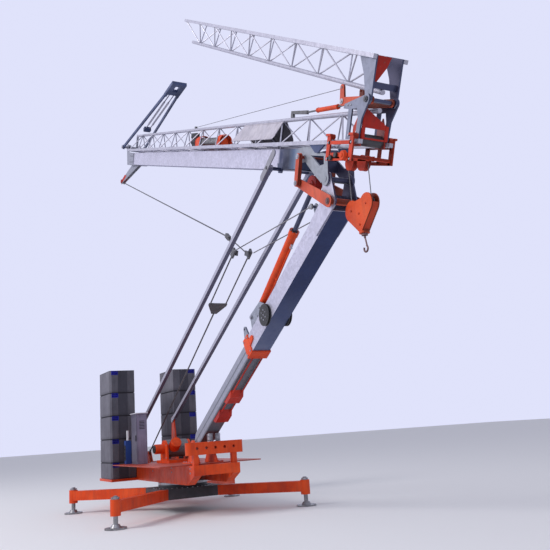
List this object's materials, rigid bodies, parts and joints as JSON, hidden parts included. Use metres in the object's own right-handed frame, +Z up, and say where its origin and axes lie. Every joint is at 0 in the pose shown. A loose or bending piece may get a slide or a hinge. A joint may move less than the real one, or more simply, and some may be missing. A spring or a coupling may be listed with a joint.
{
  "type": "self-erecting tower crane",
  "caption": "Slewing self-erecting tower crane with a ballasted platform on jacks, a folding box mast with its ram and struts, and a folded lattice jib with trolley and hook",
  "frame": {"origin": "on the ground, under the slewing axis, midway between the four jack feet", "axes": "+X forward, the way the lower mast leans and the jib points; +Y to the crane's left; +Z up"},
  "size_m": [13.8405, 4.5198, 11.0402],
  "materials": {
    "orange_paint": "satin orange-red machine paint",
    "galvanised": "dull zinc, slightly violet",
    "chassis_grey": "dark grey paint",
    "jack_steel": "bare screw steel",
    "ring_steel": "machined steel",
    "concrete": "bare cast concrete",
    "pocket_blue": "dark blue sheet steel",
    "cabinet_grey": "light grey powder coat",
    "device_blue": "dark blue paint",
    "spring_steel": "bright wound steel",
    "black_plastic": "black nylon",
    "motor_black": "black paint",
    "rod_chrome": "polished rod",
    "rope_steel": "greased wire and dark rod",
    "sheave_grey": "dark cast sheave",
    "panel_white": "white sheet",
    "strut_blue": "dark blue-grey paint",
    "hook_steel": "forged steel"
  },
  "bodies": {
    "undercarriage": {"chassis": "chassis_grey", "outriggers": "orange_paint", "jacks": "jack_steel"},
    "platform": {"slewing_ring_upper": "ring_steel", "slewing_platform": "orange_paint", "platform_deck": "orange_paint", "ballast_course_1": "concrete", "ballast_course_2": "concrete", "ballast_course_3": "concrete", "ballast_course_4": "concrete", "ballast_course_5": "concrete", "lifting_pockets": "pocket_blue", "control_cabinet": "cabinet_grey", "power_box": "device_blue", "hoist_winch": "orange_paint", "strut_posts": "orange_paint", "mast_foot_bracket": "orange_paint", "front_cross_beam": "orange_paint", "buffer_coils": "spring_steel"},
    "lower_mast": {"lower_mast_base": "galvanised", "mast_guides": "orange_paint", "telescope_collar": "orange_paint", "lower_mast_box": "galvanised", "lower_mast_head": "galvanised", "ram_bracket": "galvanised", "ram_pulley": "black_plastic", "stay_lugs": "galvanised"},
    "ram_barrel": {"ram_barrel": "orange_paint"},
    "ram_rod": {"ram_rod": "rod_chrome"},
    "bell_crank": {"bell_crank": "orange_paint"},
    "upper_mast": {"upper_mast_box": "galvanised", "upper_mast_foot": "galvanised", "upper_mast_head": "galvanised", "head_tie": "rope_steel"},
    "toggle_links": {"toggle_links": "orange_paint"},
    "rear_struts": {"rear_struts": "galvanised"},
    "tie_rods": {"tie_rods": "rope_steel"},
    "keeper_ropes": {"keeper_ropes": "rope_steel"},
    "inner_jib": {"inner_jib_lattice": "galvanised", "inner_jib_root": "galvanised", "jib_fold_ears": "galvanised", "jib_panels": "panel_white", "jib_winch": "orange_paint", "jib_winch_motor": "motor_black", "fold_lever": "orange_paint", "fold_rigging": "rope_steel", "trolley_frame": "orange_paint", "trolley_sheaves": "sheave_grey", "trolley_drum": "sheave_grey"},
    "outer_jib": {"outer_jib_lattice": "galvanised", "outer_jib_ears": "galvanised"},
    "jib_strut": {"jib_strut": "strut_blue", "jib_strut_rods": "galvanised"},
    "hook_block": {"hook_ropes": "rope_steel", "hook_block": "orange_paint", "block_sheaves": "sheave_grey"},
    "hook": {"hook": "hook_steel"}
  },
  "joints": [
    {"name": "slew", "type": "hinge", "parent": "undercarriage", "child": "platform", "pos_m": [0, 0, 0.59], "axis": [0, 0, 1], "continuous": true},
    {"name": "mast_raise", "type": "hinge", "parent": "platform", "child": "lower_mast", "pos_m": [1.35, 0, 1.42], "axis": [0, -1, 0], "range_deg": [0, 61.6]},
    {"name": "mast_fold", "type": "hinge", "parent": "lower_mast", "child": "upper_mast", "pos_m": [7.56574, 0, 5.16736], "axis": [0, -1, 0], "range_deg": [-130.3, 0.1]},
    {"name": "strut_swing", "type": "hinge", "parent": "platform", "child": "rear_struts", "pos_m": [-1.7, 0, 2.05], "axis": [0, -1, 0], "range_deg": [-0.1, 45.11]},
    {"name": "ram_swing", "type": "hinge", "parent": "lower_mast", "child": "ram_barrel", "pos_m": [4.46912, 0, 3.64081], "axis": [0, -1, 0], "range_deg": [-7.41, 0.1]},
    {"name": "ram_extend", "type": "slide", "parent": "ram_barrel", "child": "ram_rod", "axis": [0.8168, 0, 0.5769], "range_m": [-0.001, 1.2406]},
    {"name": "crank_swing", "type": "hinge", "parent": "lower_mast", "child": "bell_crank", "pos_m": [7.65376, 0, 4.79432], "axis": [0, -1, 0], "range_deg": [-87.6, 0.1]},
    {"name": "toggle_swing", "type": "hinge", "parent": "upper_mast", "child": "toggle_links", "pos_m": [7.00194, 0, 5.72663], "axis": [0, -1, 0], "range_deg": [-3.2, 0.1]},
    {"name": "tie_swing", "type": "hinge", "parent": "platform", "child": "tie_rods", "pos_m": [-2.6, 0, 1.25], "axis": [0, -1, 0], "range_deg": [-0.1, 56.25]},
    {"name": "keeper_swing", "type": "hinge", "parent": "lower_mast", "child": "keeper_ropes", "pos_m": [7.08669, 0, 4.89697], "axis": [0, -1, 0], "range_deg": [-72.09, 0.1]},
    {"name": "jib_raise", "type": "hinge", "parent": "upper_mast", "child": "inner_jib", "pos_m": [-3.33415, 0, 10.10489], "axis": [0, -1, 0], "range_deg": [-0.1, 90.1]},
    {"name": "jib_strut_swing", "type": "hinge", "parent": "upper_mast", "child": "jib_strut", "pos_m": [-3.33415, 0, 10.10489], "axis": [0, -1, 0], "range_deg": [-0.1, 172.58]},
    {"name": "jib_fold", "type": "hinge", "parent": "inner_jib", "child": "outer_jib", "pos_m": [8.80141, 0, 5.85382], "axis": [0, 1, 0], "range_deg": [-12.6, 167.4]},
    {"name": "hook_hang", "type": "hinge", "parent": "inner_jib", "child": "hook_block", "pos_m": [8.10938, 0, 5.23356], "axis": [0, -1, 0], "range_deg": [-21.5, 0.1]},
    {"name": "hook_swivel", "type": "hinge", "parent": "hook_block", "child": "hook", "pos_m": [8.10938, 0, 4.22756], "axis": [0, 0, 1], "continuous": true}
  ],
  "couplings": [
    {"joint": "mast_fold", "follows": "mast_raise", "ratio": -2.1136},
    {"joint": "strut_swing", "follows": "mast_raise", "ratio": 0.7307},
    {"joint": "ram_swing", "follows": "mast_raise", "ratio": -0.1187},
    {"joint": "crank_swing", "follows": "mast_raise", "ratio": -1.4205},
    {"joint": "toggle_swing", "follows": "mast_raise", "ratio": -0.0503},
    {"joint": "tie_swing", "follows": "mast_raise", "ratio": 0.9116},
    {"joint": "keeper_swing", "follows": "mast_raise", "ratio": -1.1687},
    {"joint": "jib_raise", "follows": "mast_raise", "ratio": 1.461},
    {"joint": "jib_strut_swing", "follows": "mast_raise", "ratio": 2.8},
    {"joint": "hook_hang", "follows": "mast_raise", "ratio": -0.3474},
    {"joint": "ram_extend", "follows": "mast_raise", "m_per_rad": 1.153}
  ]
}
